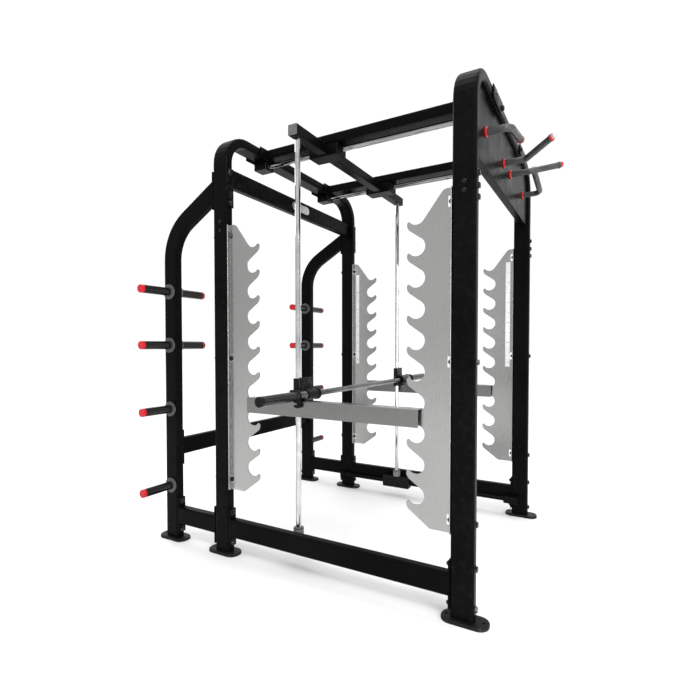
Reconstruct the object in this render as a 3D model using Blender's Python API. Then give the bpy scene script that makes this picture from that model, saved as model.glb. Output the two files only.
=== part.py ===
"""Two-axis smith machine with hook combs, safety arms, plate pegs and a grip station.

Metres, +Z up, floor at z = 0. X runs across the machine, -Y is the front (grip station),
+Y is the back (plate storage). The origin is the centre of the footprint box.
"""
import math

import bmesh
import bpy
from mathutils import Vector

# ---------------------------------------------------------------- driving dimensions
Y_SHIFT = 0.56095          # moves the working frame so the footprint box is centred
GAP = 0.0003                # clearance between parts that touch

TUBE_X = 0.050              # main tube, across the machine
TUBE_Y = 0.100              # main tube, front to back
TUBE_R = 0.012              # main tube edge radius
HALF_W = 0.693              # upright centre line
REAR_Y = 0.0                # rear arch centre line
FRONT_Y = -1.330            # front arch centre line
POST_Y = 0.400              # storage post centre line
FRAME_H = 2.300             # top of the arches
BEND_R = 0.145              # arch corner, centre line

FOOT_T = 0.015
FOOT_X = 0.048              # half width
FOOT_Y = 0.100              # half length
FOOT_R = 0.044
FOOT_HOLE_R = 0.006
FOOT_HOLE_Y = 0.078
FOOT_EDGE = 0.003           # slope round the top of a foot
FRONT_FOOT_SHIFT = -0.008   # the front feet sit a little ahead of their uprights

BASE_Z = 0.1475             # base beam centre height
PLATE_T = 0.008             # joint plate thickness
PLATE_H = 0.205             # joint plate height
PLATE_EDGE = 0.0012
TOP_PLATE_HALF_X = 0.100
TOP_PLATE_Z = (2.240, 2.304)
STORE_PLATE_HALF_Y = 0.045

BADGE_HALF_X = 0.096
BADGE_HALF_Z = 0.026
BADGE_R = 0.0255
BADGE_T = 0.003

TOP_X = 0.347               # top beam centre line
CROSS_Z = 2.062             # rear crossbeam centre height
STORE_Z = 0.540             # storage crossbeam centre height
POST_VERTEX_Z = 1.787       # where the post centre line would turn
POST_BEND_R = 0.255
POST_SLOPE = math.radians(30)

RAIL_R = 0.014              # top rails and guide rods
TOP_RAIL_Z = 2.221
TOP_RAIL_INSET = 0.020      # where a top rail starts behind the front arch centre line
TOP_BRACKET_HALF_X = 0.040
TOP_BRACKET_HALF_Y = 0.045
TOP_BRACKET_FRONT = 0.015   # the front brackets stop short of the panel
TOP_BRACKET_Z = (2.197, 2.250)
BRACKET_EDGE = 0.003
LOW_RAIL_R = 0.0125
LOW_RAIL_Z = 0.112
LOW_BRACKET_FRONT = (0.004, 0.093)  # from the front arch centre line
LOW_BRACKET_REAR = (-0.002, 0.030)  # from the rear arch centre line
LOW_BRACKET_HALF_Z = 0.022
ROD_X = 0.632
ROD_Y = -0.455
BORE_CLEAR = 0.0006

TROLLEY_HALF_X = 0.674
TROLLEY_HALF_Y = 0.0275
TROLLEY_Z = (2.191, 2.246)
TOP_BLOCK_HALF_X = 0.050
TOP_BLOCK_HALF_Y = 0.092
TOP_BLOCK_Z = (2.184, 2.2475)
LOW_BLOCK_HALF_X = 0.028
LOW_BLOCK_HALF_Y = 0.105
LOW_BLOCK_Z = (0.078, 0.157)
BLOCK_EDGE = 0.004
ROD_BOTTOM_Z = 0.160
ROD_COLLAR_R = 0.026
ROD_COLLAR_Z = (0.150, 0.203)

COMB_T = 0.008
COMB_MID_Y = -0.665
TIP_REACH = 0.4215          # tooth tip distance from the comb mid plane
TOOTH_COUNT = 10
TOOTH_PITCH = 0.134
TOP_TIP_Z = 1.672
COMB_TOP_Z = 1.790
COMB_BOTTOM_Z = 0.358
COMB_BOLTS_Z = (1.735, 1.073, 0.412)
COMB_NOTCH_DEPTH = 0.019    # clearance round each comb bolt
COMB_NOTCH_HALF = 0.023
COMB_STRIP_T = 0.005
COMB_STRIP_HALF_X = 0.0245
COMB_EDGE = 0.001
POCKET_U = 0.033            # pocket centre, behind the tooth tip
POCKET_W = 0.026            # pocket centre, above the tooth tip
POCKET_R = 0.041

ARM_TOOTH = 6               # tooth index the safety arms rest on
ARM_HALF_L = 0.475
ARM_W = 0.060
ARM_T = 0.005
ARM_EDGE = 0.003
ARM_SEAT = 0.0035           # the web's underside rests this far below the tooth tip
ARM_SLOT_U = (-0.0070, 0.0063)
ARM_SLOT_HALF_X = 0.0065
ARM_BOTTOM_Z = 0.790

BAR_Y = -0.515
BAR_Z = 0.8935
BAR_R = 0.015
BAR_CORE_R = 0.0125         # stepped ends inside the sleeves
BAR_END = 0.998
BAR_EDGE = 0.001
COLLAR_R = 0.0235
COLLAR_X = (0.6630, 0.7432)
HOOK_X = (0.7275, 0.7415)
HOOK_R = 0.031
SLEEVE_R = 0.024
SLEEVE_IN = 0.745
SLEEVE_OUT = 1.012
SLEEVE_BORE_END = 1.000
SLEEVE_EDGE = 0.003

HOUSING_R = 0.0255          # slider housing round the guide rod
HOUSING_Z = (0.840, 0.973)
CHEEK_X = (0.552, 0.646)
CHEEK_AHEAD = (0.036, 0.024)
CHEEK_Z = (0.880, 0.978)
WEB_X = (0.572, 0.652)
WEB_Z = (0.866, 0.924)
WEB_AHEAD = 0.010
SLIDER_EDGE = 0.002
HUB_X = (0.560, 0.659)
HUB_R = 0.0275
FLANGE_X = (0.550, 0.562)
FLANGE_R = 0.031

PEG_LEVELS = (1.455, 1.144, 0.770, 0.320)
PEG_INNER_LEVELS = (1.455, 1.144)
PEG_REACH = 0.200
PEG_R = 0.0235
PEG_DISC_R = 0.043
PEG_DISC_T = 0.011
PEG_EDGE = 0.002
PEG_CAP_L = 0.004
PEG_CAP_STEP = 0.006

PANEL_Y = -1.360
PANEL_T = 0.008
PANEL_LOW_Z = 1.930
PANEL_CLEAR = 0.0012        # keeps the corner arcs off the arch's bend
LIP_DEPTH = 0.040
LIP_DROP = 0.001
LIP_EDGE = 0.0015

HANDLE_Z = 2.077
HANDLE_BEND_Y = -1.466
HANDLE_R = 0.016
HANDLE_BEND_R = 0.034
HANDLE_FLANGE_R = 0.0225
HANDLE_FLANGE_T = 0.007
HANDLE_RING_R = 0.0178
HANDLE_TIP_R = 0.0150
HANDLE_TIP_END_R = 0.0125
HANDLE_RING_AT = (0.028, 0.019)     # distances back from the tip
OUTER_ROOT_X = 0.488
OUTER_TIP = (0.200, -1.464, 2.129)
INNER_ROOT_X = 0.090
INNER_TIP = (0.203, -1.614, 2.124)


# ---------------------------------------------------------------- scene and materials
for item in list(bpy.data.objects):
    bpy.data.objects.remove(item, do_unlink=True)
for block in list(bpy.data.meshes):
    bpy.data.meshes.remove(block)


def make_material(name, rgb, rough, metal):
    mat = bpy.data.materials.new(name)
    mat.use_nodes = True
    shader = mat.node_tree.nodes["Principled BSDF"]
    shader.inputs["Base Color"].default_value = (*rgb, 1.0)
    shader.inputs["Roughness"].default_value = rough
    shader.inputs["Metallic"].default_value = metal
    return mat


LOOKS = {
    "black_paint": ((0.018, 0.018, 0.02), 0.42, 0.0),
    "foot_black": ((0.03, 0.03, 0.032), 0.5, 0.0),
    "chrome_rod": ((0.8, 0.8, 0.82), 0.12, 1.0),
    "brushed_plate": ((0.62, 0.62, 0.63), 0.35, 1.0),
    "peg_black": ((0.02, 0.02, 0.022), 0.3, 0.0),
    "grip_rubber": ((0.03, 0.03, 0.03), 0.7, 0.0),
    "badge_silver": ((0.7, 0.7, 0.72), 0.3, 1.0),
    "slider_black": ((0.02, 0.02, 0.022), 0.35, 0.0),
}


def finish(name, bm, look):
    """Turn a bmesh into one named object with its own material and soft shading."""
    bmesh.ops.remove_doubles(bm, verts=bm.verts, dist=0.000001)
    bmesh.ops.recalc_face_normals(bm, faces=bm.faces)
    bm.normal_update()
    for face in bm.faces:
        face.smooth = True
    for edge in bm.edges:
        if len(edge.link_faces) == 2 and edge.calc_face_angle(0.0) > math.radians(32):
            edge.smooth = False
    for vert in bm.verts:
        vert.co.y += Y_SHIFT
    mesh = bpy.data.meshes.new(name)
    bm.to_mesh(mesh)
    bm.free()
    obj = bpy.data.objects.new(name, mesh)
    bpy.context.scene.collection.objects.link(obj)
    rgb, rough, metal = LOOKS[look]
    mesh.materials.append(make_material(name + "_mat", rgb, rough, metal))
    return obj


def set_origin(obj, point):
    """Move the object's origin to a point on its joint axis, leaving the shape in place."""
    target = Vector((point[0], point[1] + Y_SHIFT, point[2]))
    for vert in obj.data.vertices:
        vert.co -= target
    obj.location = target


# ---------------------------------------------------------------- solids
def box(lo, hi, bevel=0.0, segments=1):
    bm = bmesh.new()
    bmesh.ops.create_cube(bm, size=1.0)
    for vert in bm.verts:
        for axis in range(3):
            mid = (lo[axis] + hi[axis]) / 2
            vert.co[axis] = mid + vert.co[axis] * (hi[axis] - lo[axis])
    if bevel:
        bmesh.ops.bevel(bm, geom=list(bm.edges), offset=bevel, segments=segments,
                        profile=0.5, affect="EDGES")
    return bm


def prism(points, axis, low, high):
    """Extrude a closed outline. axis 0: points are (y, z). axis 1: (x, z). axis 2: (x, y)."""
    bm = bmesh.new()
    rings = []
    for level in (low, high):
        ring = []
        for a, b in points:
            if axis == 0:
                co = (level, a, b)
            elif axis == 1:
                co = (a, level, b)
            else:
                co = (a, b, level)
            ring.append(bm.verts.new(co))
        rings.append(ring)
    count = len(points)
    bm.faces.new(rings[0])
    bm.faces.new(list(reversed(rings[1])))
    for i in range(count):
        j = (i + 1) % count
        bm.faces.new((rings[0][i], rings[0][j], rings[1][j], rings[1][i]))
    bmesh.ops.recalc_face_normals(bm, faces=bm.faces)
    return bm


def loft(rings):
    """Skin a list of closed rings and cap both ends."""
    bm = bmesh.new()
    rows = [[bm.verts.new(co) for co in ring] for ring in rings]
    count = len(rows[0])
    for row, after in zip(rows, rows[1:]):
        for i in range(count):
            j = (i + 1) % count
            bm.faces.new((row[i], row[j], after[j], after[i]))
    bm.faces.new(list(reversed(rows[0])))
    bm.faces.new(rows[-1])
    bmesh.ops.recalc_face_normals(bm, faces=bm.faces)
    return bm


def circle(radius, count):
    step = 2 * math.pi / count
    return [(radius * math.cos(i * step), radius * math.sin(i * step)) for i in range(count)]


def rounded_rect(half_a, half_b, radius, steps):
    points = []
    for sa, sb, start in ((1, 1, 0), (-1, 1, 90), (-1, -1, 180), (1, -1, 270)):
        for k in range(steps + 1):
            angle = math.radians(start + 90 * k / steps)
            a = sa * (half_a - radius) + radius * math.cos(angle)
            b = sb * (half_b - radius) + radius * math.sin(angle)
            points.append((a, b))
    return points


def arc(cu, cw, radius, start_deg, end_deg, steps):
    points = []
    for k in range(steps + 1):
        angle = math.radians(start_deg + (end_deg - start_deg) * k / steps)
        points.append((cu + radius * math.cos(angle), cw + radius * math.sin(angle)))
    return points


def fillet_path(corners, radius, steps):
    """Centre line through corner points with rounded corners, as (point, tangent) pairs."""
    corners = [Vector(c) for c in corners]
    path = [(corners[0], (corners[1] - corners[0]).normalized())]
    for before, here, after in zip(corners, corners[1:], corners[2:]):
        into = (here - before).normalized()
        out = (after - here).normalized()
        turn = into.angle(out)
        reach = radius * math.tan(turn / 2)
        start = here - into * reach
        side = (out - into * out.dot(into)).normalized()
        centre = start + side * radius
        for k in range(steps + 1):
            angle = turn * k / steps
            point = centre - side * radius * math.cos(angle) + into * radius * math.sin(angle)
            tangent = into * math.cos(angle) + side * math.sin(angle)
            path.append((point, tangent))
    path.append((corners[-1], (corners[-1] - corners[-2]).normalized()))
    return path


def sweep(path, profile, binormal):
    """Sweep a profile (a along binormal x tangent, b along binormal) down a planar path."""
    binormal = Vector(binormal)
    rings = []
    for point, tangent in path:
        side = binormal.cross(tangent).normalized()
        rings.append([point + side * a + binormal * b for a, b in profile])
    return rings


def tube_run(path, binormal):
    return loft(sweep(path, rounded_rect(TUBE_X / 2, TUBE_Y / 2, TUBE_R, 3), binormal))


def lathe_x(stations, centre_y, centre_z, count):
    """Round solid about an axis along X from (x, radius) stations."""
    rings = []
    for x, radius in stations:
        rings.append([(x, centre_y + a, centre_z + b) for a, b in circle(radius, count)])
    return loft(rings)


def cylinder(axis, centre, radius, low, high, count):
    rings = []
    for level in (low, high):
        ring = []
        for a, b in circle(radius, count):
            if axis == 0:
                ring.append((level, centre[0] + a, centre[1] + b))
            elif axis == 1:
                ring.append((centre[0] + a, level, centre[1] + b))
            else:
                ring.append((centre[0] + a, centre[1] + b, level))
        rings.append(ring)
    return loft(rings)


def combine(base, others, operation):
    """Exact union or difference of closed solids."""
    holders = []
    for bm in [base] + others:
        bmesh.ops.recalc_face_normals(bm, faces=bm.faces)
        mesh = bpy.data.meshes.new("work")
        bm.to_mesh(mesh)
        bm.free()
        holder = bpy.data.objects.new("work", mesh)
        bpy.context.scene.collection.objects.link(holder)
        holders.append(holder)
    for other in holders[1:]:
        modifier = holders[0].modifiers.new("cut", "BOOLEAN")
        modifier.operation = operation
        modifier.solver = "EXACT"
        modifier.object = other
    graph = bpy.context.evaluated_depsgraph_get()
    graph.update()
    result = bmesh.new()
    mesh = bpy.data.meshes.new_from_object(holders[0].evaluated_get(graph))
    result.from_mesh(mesh)
    bpy.data.meshes.remove(mesh)
    for holder in holders:
        data = holder.data
        bpy.data.objects.remove(holder, do_unlink=True)
        bpy.data.meshes.remove(data)
    bmesh.ops.remove_doubles(result, verts=result.verts, dist=0.000002)
    bmesh.ops.dissolve_limit(result, angle_limit=math.radians(0.5), verts=result.verts,
                             edges=result.edges)
    return result


def union(base, *others):
    return combine(base, list(others), "UNION")


def cut(base, *others):
    return combine(base, list(others), "DIFFERENCE")


SIDES = (("left", -1), ("right", 1))


def span(side, near, far):
    """X range on one side of the machine, low value first."""
    values = sorted((side * near, side * far))
    return values[0], values[1]


def side_box(side, x_range, y_range, z_range, bevel=0.0):
    x_low, x_high = span(side, *x_range)
    return box((x_low, y_range[0], z_range[0]), (x_high, y_range[1], z_range[1]), bevel)


# ---------------------------------------------------------------- frame
def build_arch(name, y):
    centre_top = FRAME_H - TUBE_X / 2
    corners = [(-HALF_W, y, FOOT_T + GAP), (-HALF_W, y, centre_top),
               (HALF_W, y, centre_top), (HALF_W, y, FOOT_T + GAP)]
    finish(name, tube_run(fillet_path(corners, BEND_R, 9), (0, 1, 0)), "black_paint")


def joint_plate(x, y_low, y_high, z, half_x=TUBE_X / 2, half_z=PLATE_H / 2):
    return box((x - half_x, y_low, z - half_z), (x + half_x, y_high, z + half_z), PLATE_EDGE)


def straight_tube(start, end, half_a, half_b, binormal):
    path = [(Vector(start), (Vector(end) - Vector(start)).normalized())]
    path.append((Vector(end), path[0][1]))
    return loft(sweep(path, rounded_rect(half_a, half_b, TUBE_R, 3), binormal))


def build_post(name, side):
    x = side * HALF_W
    face_y = REAR_Y + TUBE_Y / 2 + GAP
    end_y = face_y + PLATE_T * 0.5
    end_z = POST_VERTEX_Z + (POST_Y - end_y) * math.tan(POST_SLOPE)
    corners = [(x, POST_Y, FOOT_T + GAP), (x, POST_Y, POST_VERTEX_Z), (x, end_y, end_z)]
    path = fillet_path(corners, POST_BEND_R, 8)
    profile = rounded_rect(TUBE_Y / 2, TUBE_X / 2, TUBE_R, 3)
    rings = sweep(path, profile, (1, 0, 0))
    tangent = path[-1][1]
    rings[-1] = [co + tangent * ((end_y - co.y) / tangent.y) for co in rings[-1]]
    plate = joint_plate(x, face_y, face_y + PLATE_T, end_z)
    finish(name, union(loft(rings), plate), "black_paint")


def build_base(name, side, y_low, y_high):
    x = side * HALF_W
    half = PLATE_T / 2
    beam = straight_tube((x, y_low + half, BASE_Z), (x, y_high - half, BASE_Z),
                         TUBE_X / 2, TUBE_Y / 2, (0, 0, 1))
    low_plate = joint_plate(x, y_low, y_low + PLATE_T, BASE_Z)
    high_plate = joint_plate(x, y_high - PLATE_T, y_high, BASE_Z)
    finish(name, union(beam, low_plate, high_plate), "black_paint")


def build_top_beam(name, side):
    x = side * TOP_X
    y_low = FRONT_Y + TUBE_Y / 2 + GAP
    y_high = REAR_Y - TUBE_Y / 2 - GAP
    z = FRAME_H - TUBE_X / 2
    half = PLATE_T / 2
    beam = straight_tube((x, y_low + half, z), (x, y_high - half, z),
                         TUBE_Y / 2, TUBE_X / 2, (0, 0, 1))
    plates = []
    for start in (y_low, y_high - PLATE_T):
        plates.append(box((x - TOP_PLATE_HALF_X, start, TOP_PLATE_Z[0]),
                          (x + TOP_PLATE_HALF_X, start + PLATE_T, TOP_PLATE_Z[1]), PLATE_EDGE))
    finish(name, union(beam, *plates), "black_paint")


def build_feet():
    rows = (("front", FRONT_Y + FRONT_FOOT_SHIFT), ("rear", REAR_Y), ("store", POST_Y))
    for row, y in rows:
        for label, side in SIDES:
            x = side * HALF_W
            base = rounded_rect(FOOT_X, FOOT_Y, FOOT_R, 5)
            inner = rounded_rect(FOOT_X - FOOT_EDGE, FOOT_Y - FOOT_EDGE, FOOT_R - FOOT_EDGE, 5)
            rings = [[(x + a, y + b, 0.0) for a, b in base],
                     [(x + a, y + b, FOOT_T - FOOT_EDGE) for a, b in base],
                     [(x + a, y + b, FOOT_T) for a, b in inner]]
            holes = [cylinder(2, (x, y + s * FOOT_HOLE_Y), FOOT_HOLE_R, -FOOT_T, 2 * FOOT_T, 12)
                     for s in (-1, 1)]
            finish("foot_" + row + "_" + label, cut(loft(rings), *holes), "foot_black")


def build_frame():
    build_arch("front_arch", FRONT_Y)
    build_arch("rear_arch", REAR_Y)
    build_feet()
    face = TUBE_Y / 2 + GAP
    for label, side in SIDES:
        build_post("storage_post_" + label, side)
        build_base("base_beam_" + label, side, FRONT_Y + face, REAR_Y - face)
        build_base("base_stub_" + label, side, REAR_Y + face, POST_Y - face)
        build_top_beam("top_beam_" + label, side)
    reach = HALF_W - TUBE_X / 2 - GAP
    rear = straight_tube((-reach, REAR_Y, CROSS_Z), (reach, REAR_Y, CROSS_Z),
                         TUBE_X / 2, TUBE_Y / 2, (0, 0, 1))
    finish("rear_crossbeam", rear, "black_paint")
    half = PLATE_T / 2
    store = straight_tube((-reach + half, POST_Y, STORE_Z), (reach - half, POST_Y, STORE_Z),
                          TUBE_X / 2, TUBE_Y / 2, (0, 0, 1))
    plates = []
    for side in (-1, 1):
        plates.append(side_box(side, (reach - PLATE_T, reach),
                               (POST_Y - STORE_PLATE_HALF_Y, POST_Y + STORE_PLATE_HALF_Y),
                               (STORE_Z - PLATE_H / 2, STORE_Z + PLATE_H / 2), PLATE_EDGE))
    finish("storage_crossbeam", union(store, *plates), "black_paint")
    badge = rounded_rect(BADGE_HALF_X, BADGE_HALF_Z, BADGE_R, 6)
    badge_points = [(a, CROSS_Z + b) for a, b in badge]
    badge_y = REAR_Y - TUBE_X / 2 - GAP
    finish("badge_plate", prism(badge_points, 1, badge_y - BADGE_T, badge_y), "badge_silver")


# ---------------------------------------------------------------- hook combs
def tooth_tip():
    """Outline of one tooth from the top of its pocket floor round the tip to its underside."""
    points = [(0.0100, -0.0080), (0.0055, -0.0030), (0.0020, -0.0006), (-0.0020, 0.0)]
    points += [(-0.0060, -0.0022), (-0.0082, -0.0065), (-0.0090, -0.0160)]
    points += [(-0.0066, -0.0260), (0.0020, -0.0380)]
    return points


def comb_outline():
    depth = FRONT_TO_FACE - 0.003
    outline = []
    for index in range(TOOTH_COUNT):
        tip_z = TOP_TIP_Z - index * TOOTH_PITCH
        if index == 0:
            outline += [(depth, COMB_TOP_Z), (0.166, COMB_TOP_Z), (0.155, COMB_TOP_Z - 0.003)]
            outline += [(0.146, COMB_TOP_Z - 0.011)]
            floor = arc(POCKET_U, POCKET_W, POCKET_R, -36, -122, 6)
        else:
            floor = arc(POCKET_U, POCKET_W, POCKET_R, 43, -122, 11)
        outline += [(u, tip_z + w) for u, w in floor]
        outline += [(u, tip_z + w) for u, w in tooth_tip()]
    outline += [(0.090, COMB_BOTTOM_Z + 0.006), (0.098, COMB_BOTTOM_Z)]
    outline += [(depth, COMB_BOTTOM_Z)]
    for bolt_z in reversed(COMB_BOLTS_Z):
        notch = depth - COMB_NOTCH_DEPTH
        outline += [(depth, bolt_z - COMB_NOTCH_HALF), (notch, bolt_z - COMB_NOTCH_HALF)]
        outline += [(notch, bolt_z + COMB_NOTCH_HALF), (depth, bolt_z + COMB_NOTCH_HALF)]
    return outline


FRONT_TO_FACE = (REAR_Y - TUBE_Y / 2) - (COMB_MID_Y + TIP_REACH) - GAP


def build_combs():
    for row, toward in (("front", -1), ("rear", 1)):
        tip_y = COMB_MID_Y + toward * TIP_REACH
        face_y = tip_y + toward * FRONT_TO_FACE
        strip_y = sorted((face_y, face_y - toward * COMB_STRIP_T))
        for label, side in SIDES:
            points = [(tip_y + toward * u, z) for u, z in comb_outline()]
            x_low, x_high = span(side, HALF_W - COMB_T / 2, HALF_W + COMB_T / 2)
            blade = prism(points, 0, x_low, x_high)
            strip = side_box(side, (HALF_W - COMB_STRIP_HALF_X, HALF_W + COMB_STRIP_HALF_X),
                             strip_y, (COMB_BOTTOM_Z, COMB_TOP_Z), COMB_EDGE)
            finish("comb_" + row + "_" + label, union(blade, strip), "brushed_plate")


def build_safety_arms():
    tip_z = TOP_TIP_Z - ARM_TOOTH * TOOTH_PITCH
    web_low = tip_z - ARM_SEAT
    y_low = COMB_MID_Y - ARM_HALF_L
    y_high = COMB_MID_Y + ARM_HALF_L
    half = ARM_W / 2
    for label, side in SIDES:
        x = side * HALF_W
        top = web_low + ARM_T
        outline = [(x - half, ARM_BOTTOM_Z), (x - half, top - ARM_EDGE)]
        outline += [(x - half + ARM_EDGE, top), (x + half - ARM_EDGE, top)]
        outline += [(x + half, top - ARM_EDGE), (x + half, ARM_BOTTOM_Z)]
        outline += [(x + half - ARM_T, ARM_BOTTOM_Z), (x + half - ARM_T, web_low)]
        outline += [(x - half + ARM_T, web_low), (x - half + ARM_T, ARM_BOTTOM_Z)]
        channel = prism(outline, 1, y_low, y_high)
        slots = []
        for toward in (-1, 1):
            tip_y = COMB_MID_Y + toward * TIP_REACH
            edges = sorted(tip_y + toward * u for u in ARM_SLOT_U)
            slots.append(box((x - ARM_SLOT_HALF_X, edges[0], web_low - ARM_T),
                             (x + ARM_SLOT_HALF_X, edges[1], top + ARM_T)))
        finish("safety_arm_" + label, cut(channel, *slots), "brushed_plate")


# ---------------------------------------------------------------- rails and trolley
def build_rails():
    top_ends = ((FRONT_Y - TOP_BRACKET_FRONT, FRONT_Y + TOP_BRACKET_HALF_Y),
                (REAR_Y - TOP_BRACKET_HALF_Y, REAR_Y + TOP_BRACKET_HALF_Y))
    low_ends = ((FRONT_Y + LOW_BRACKET_FRONT[0], FRONT_Y + LOW_BRACKET_FRONT[1]),
                (REAR_Y + LOW_BRACKET_REAR[0], REAR_Y + LOW_BRACKET_REAR[1]))
    for label, side in SIDES:
        x = side * TOP_X
        rod = cylinder(1, (x, TOP_RAIL_Z), RAIL_R, FRONT_Y + TOP_RAIL_INSET,
                       REAR_Y + TOP_RAIL_INSET, 20)
        brackets = []
        for y_low, y_high in top_ends:
            brackets.append(box((x - TOP_BRACKET_HALF_X, y_low, TOP_BRACKET_Z[0]),
                                (x + TOP_BRACKET_HALF_X, y_high, TOP_BRACKET_Z[1] - GAP),
                                BRACKET_EDGE))
        finish("top_rail_" + label, union(rod, *brackets), "chrome_rod")
        x = side * ROD_X
        rod = cylinder(1, (x, LOW_RAIL_Z), LOW_RAIL_R, sum(low_ends[0]) / 2, sum(low_ends[1]) / 2,
                       20)
        brackets = []
        reach = (ROD_X - LOW_BRACKET_HALF_Z, HALF_W - TUBE_X / 2 - GAP)
        heights = (LOW_RAIL_Z - LOW_BRACKET_HALF_Z, LOW_RAIL_Z + LOW_BRACKET_HALF_Z)
        for ends in low_ends:
            brackets.append(side_box(side, reach, ends, heights, BRACKET_EDGE))
        finish("bottom_rail_" + label, union(rod, *brackets), "chrome_rod")


def centred_box(x, half_x, half_y, z_range, bevel):
    """A block centred on (x, ROD_Y)."""
    return box((x - half_x, ROD_Y - half_y, z_range[0]), (x + half_x, ROD_Y + half_y, z_range[1]),
               bevel)


def build_trolley():
    beam = centred_box(0, TROLLEY_HALF_X, TROLLEY_HALF_Y, TROLLEY_Z, BRACKET_EDGE)
    blocks = []
    bores = []
    past = 2 * LOW_BLOCK_HALF_Y
    for side in (-1, 1):
        x = side * TOP_X
        blocks.append(centred_box(x, TOP_BLOCK_HALF_X, TOP_BLOCK_HALF_Y, TOP_BLOCK_Z, BLOCK_EDGE))
        bores.append(cylinder(1, (x, TOP_RAIL_Z), RAIL_R + BORE_CLEAR, ROD_Y - past, ROD_Y + past,
                              20))
    beam = cut(union(beam, *blocks), *bores)
    obj = finish("trolley_beam", beam, "black_paint")
    set_origin(obj, (0, ROD_Y, TOP_RAIL_Z))
    for label, side in SIDES:
        x = side * ROD_X
        rod = cylinder(2, (x, ROD_Y), RAIL_R, ROD_BOTTOM_Z, TROLLEY_Z[0] - GAP, 24)
        obj = finish("guide_rod_" + label, rod, "chrome_rod")
        set_origin(obj, (x, ROD_Y, 1.0))
        block = centred_box(x, LOW_BLOCK_HALF_X, LOW_BLOCK_HALF_Y, LOW_BLOCK_Z, BLOCK_EDGE)
        collar = cylinder(2, (x, ROD_Y), ROD_COLLAR_R, *ROD_COLLAR_Z, 24)
        rod_bore = cylinder(2, (x, ROD_Y), RAIL_R + GAP, ROD_BOTTOM_Z - GAP, 2 * ROD_BOTTOM_Z, 24)
        rail_bore = cylinder(1, (x, LOW_RAIL_Z), LOW_RAIL_R + BORE_CLEAR, ROD_Y - past,
                             ROD_Y + past, 20)
        carriage = cut(union(block, collar), rod_bore, rail_bore)
        obj = finish("lower_carriage_" + label, carriage, "slider_black")
        set_origin(obj, (x, ROD_Y, LOW_RAIL_Z))


# ---------------------------------------------------------------- bar
def build_sliders():
    ahead = (ROD_Y - CHEEK_AHEAD[0], ROD_Y - CHEEK_AHEAD[1])
    for label, side in SIDES:
        x = side * ROD_X
        housing = cylinder(2, (x, ROD_Y), HOUSING_R, *HOUSING_Z, 24)
        cheek = side_box(side, CHEEK_X, ahead, CHEEK_Z, SLIDER_EDGE)
        web = side_box(side, WEB_X, (BAR_Y, ROD_Y - WEB_AHEAD), WEB_Z, SLIDER_EDGE)
        hub = cylinder(0, (BAR_Y, BAR_Z), HUB_R, *span(side, *HUB_X), 24)
        flange = cylinder(0, (BAR_Y, BAR_Z), FLANGE_R, *span(side, *FLANGE_X), 24)
        rod_bore = cylinder(2, (x, ROD_Y), RAIL_R + BORE_CLEAR, HOUSING_Z[0] - HOUSING_R,
                            HOUSING_Z[1] + HOUSING_R, 24)
        bar_bore = cylinder(0, (BAR_Y, BAR_Z), BAR_R + BORE_CLEAR, -COLLAR_X[1], COLLAR_X[1], 24)
        solid = union(housing, cheek, web, hub, flange)
        obj = finish("bar_slider_" + label, cut(solid, rod_bore, bar_bore), "slider_black")
        set_origin(obj, (x, ROD_Y, BAR_Z))


def hook_outline():
    """Latch hook in (y, z) about the bar axis: round eye, drop leg with a nose, thumb tab."""
    points = arc(0.0, 0.0, HOOK_R, -40, 25, 4)
    points += [(0.036, 0.020), (0.033, 0.029), (0.024, 0.031)]
    points += arc(0.0, 0.0, HOOK_R, 68, 205, 7)
    points += [(-0.024, -0.036), (-0.027, -0.048), (-0.020, -0.056), (-0.006, -0.058)]
    points += [(0.006, -0.054), (0.012, -0.044), (0.004, -0.041), (-0.004, -0.044)]
    points += [(-0.010, -0.040), (-0.007, -0.033), (0.008, -0.031)]
    return points


def build_bar():
    inner, outer = COLLAR_X
    stations = [(-BAR_END, BAR_CORE_R - 1.5 * BAR_EDGE), (-BAR_END + 2 * BAR_EDGE, BAR_CORE_R)]
    stations += [(-outer, BAR_CORE_R), (-outer, COLLAR_R - BAR_EDGE), (-outer + BAR_EDGE, COLLAR_R)]
    stations += [(-inner - BAR_EDGE, COLLAR_R), (-inner, COLLAR_R - BAR_EDGE), (-inner, BAR_R)]
    mirrored = [(-x, radius) for x, radius in reversed(stations)]
    shaft = lathe_x(stations + mirrored, BAR_Y, BAR_Z, 24)
    obj = finish("bar_shaft", shaft, "chrome_rod")
    set_origin(obj, (0, BAR_Y, BAR_Z))
    for label, side in SIDES:
        points = [(BAR_Y + a, BAR_Z + b) for a, b in hook_outline()]
        x_low, x_high = span(side, *HOOK_X)
        hook = prism(points, 0, x_low, x_high)
        eye = cylinder(0, (BAR_Y, BAR_Z), COLLAR_R + GAP, x_low - PLATE_T, x_high + PLATE_T, 24)
        obj = finish("bar_hook_" + label, cut(hook, eye), "slider_black")
        set_origin(obj, (side * sum(HOOK_X) / 2, BAR_Y, BAR_Z))
        outline = [(SLEEVE_IN, SLEEVE_R - 1.5 * BAR_EDGE), (SLEEVE_IN + 1.5 * BAR_EDGE, SLEEVE_R)]
        outline += [(SLEEVE_OUT - SLEEVE_EDGE, SLEEVE_R), (SLEEVE_OUT, SLEEVE_R - SLEEVE_EDGE)]
        sleeve = lathe_x([(side * x, radius) for x, radius in outline], BAR_Y, BAR_Z, 24)
        core = cylinder(0, (BAR_Y, BAR_Z), BAR_CORE_R + BORE_CLEAR,
                        *span(side, inner, SLEEVE_BORE_END), 24)
        obj = finish("bar_sleeve_" + label, cut(sleeve, core), "slider_black")
        set_origin(obj, (side * (SLEEVE_IN + SLEEVE_OUT) / 2, BAR_Y, BAR_Z))


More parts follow.
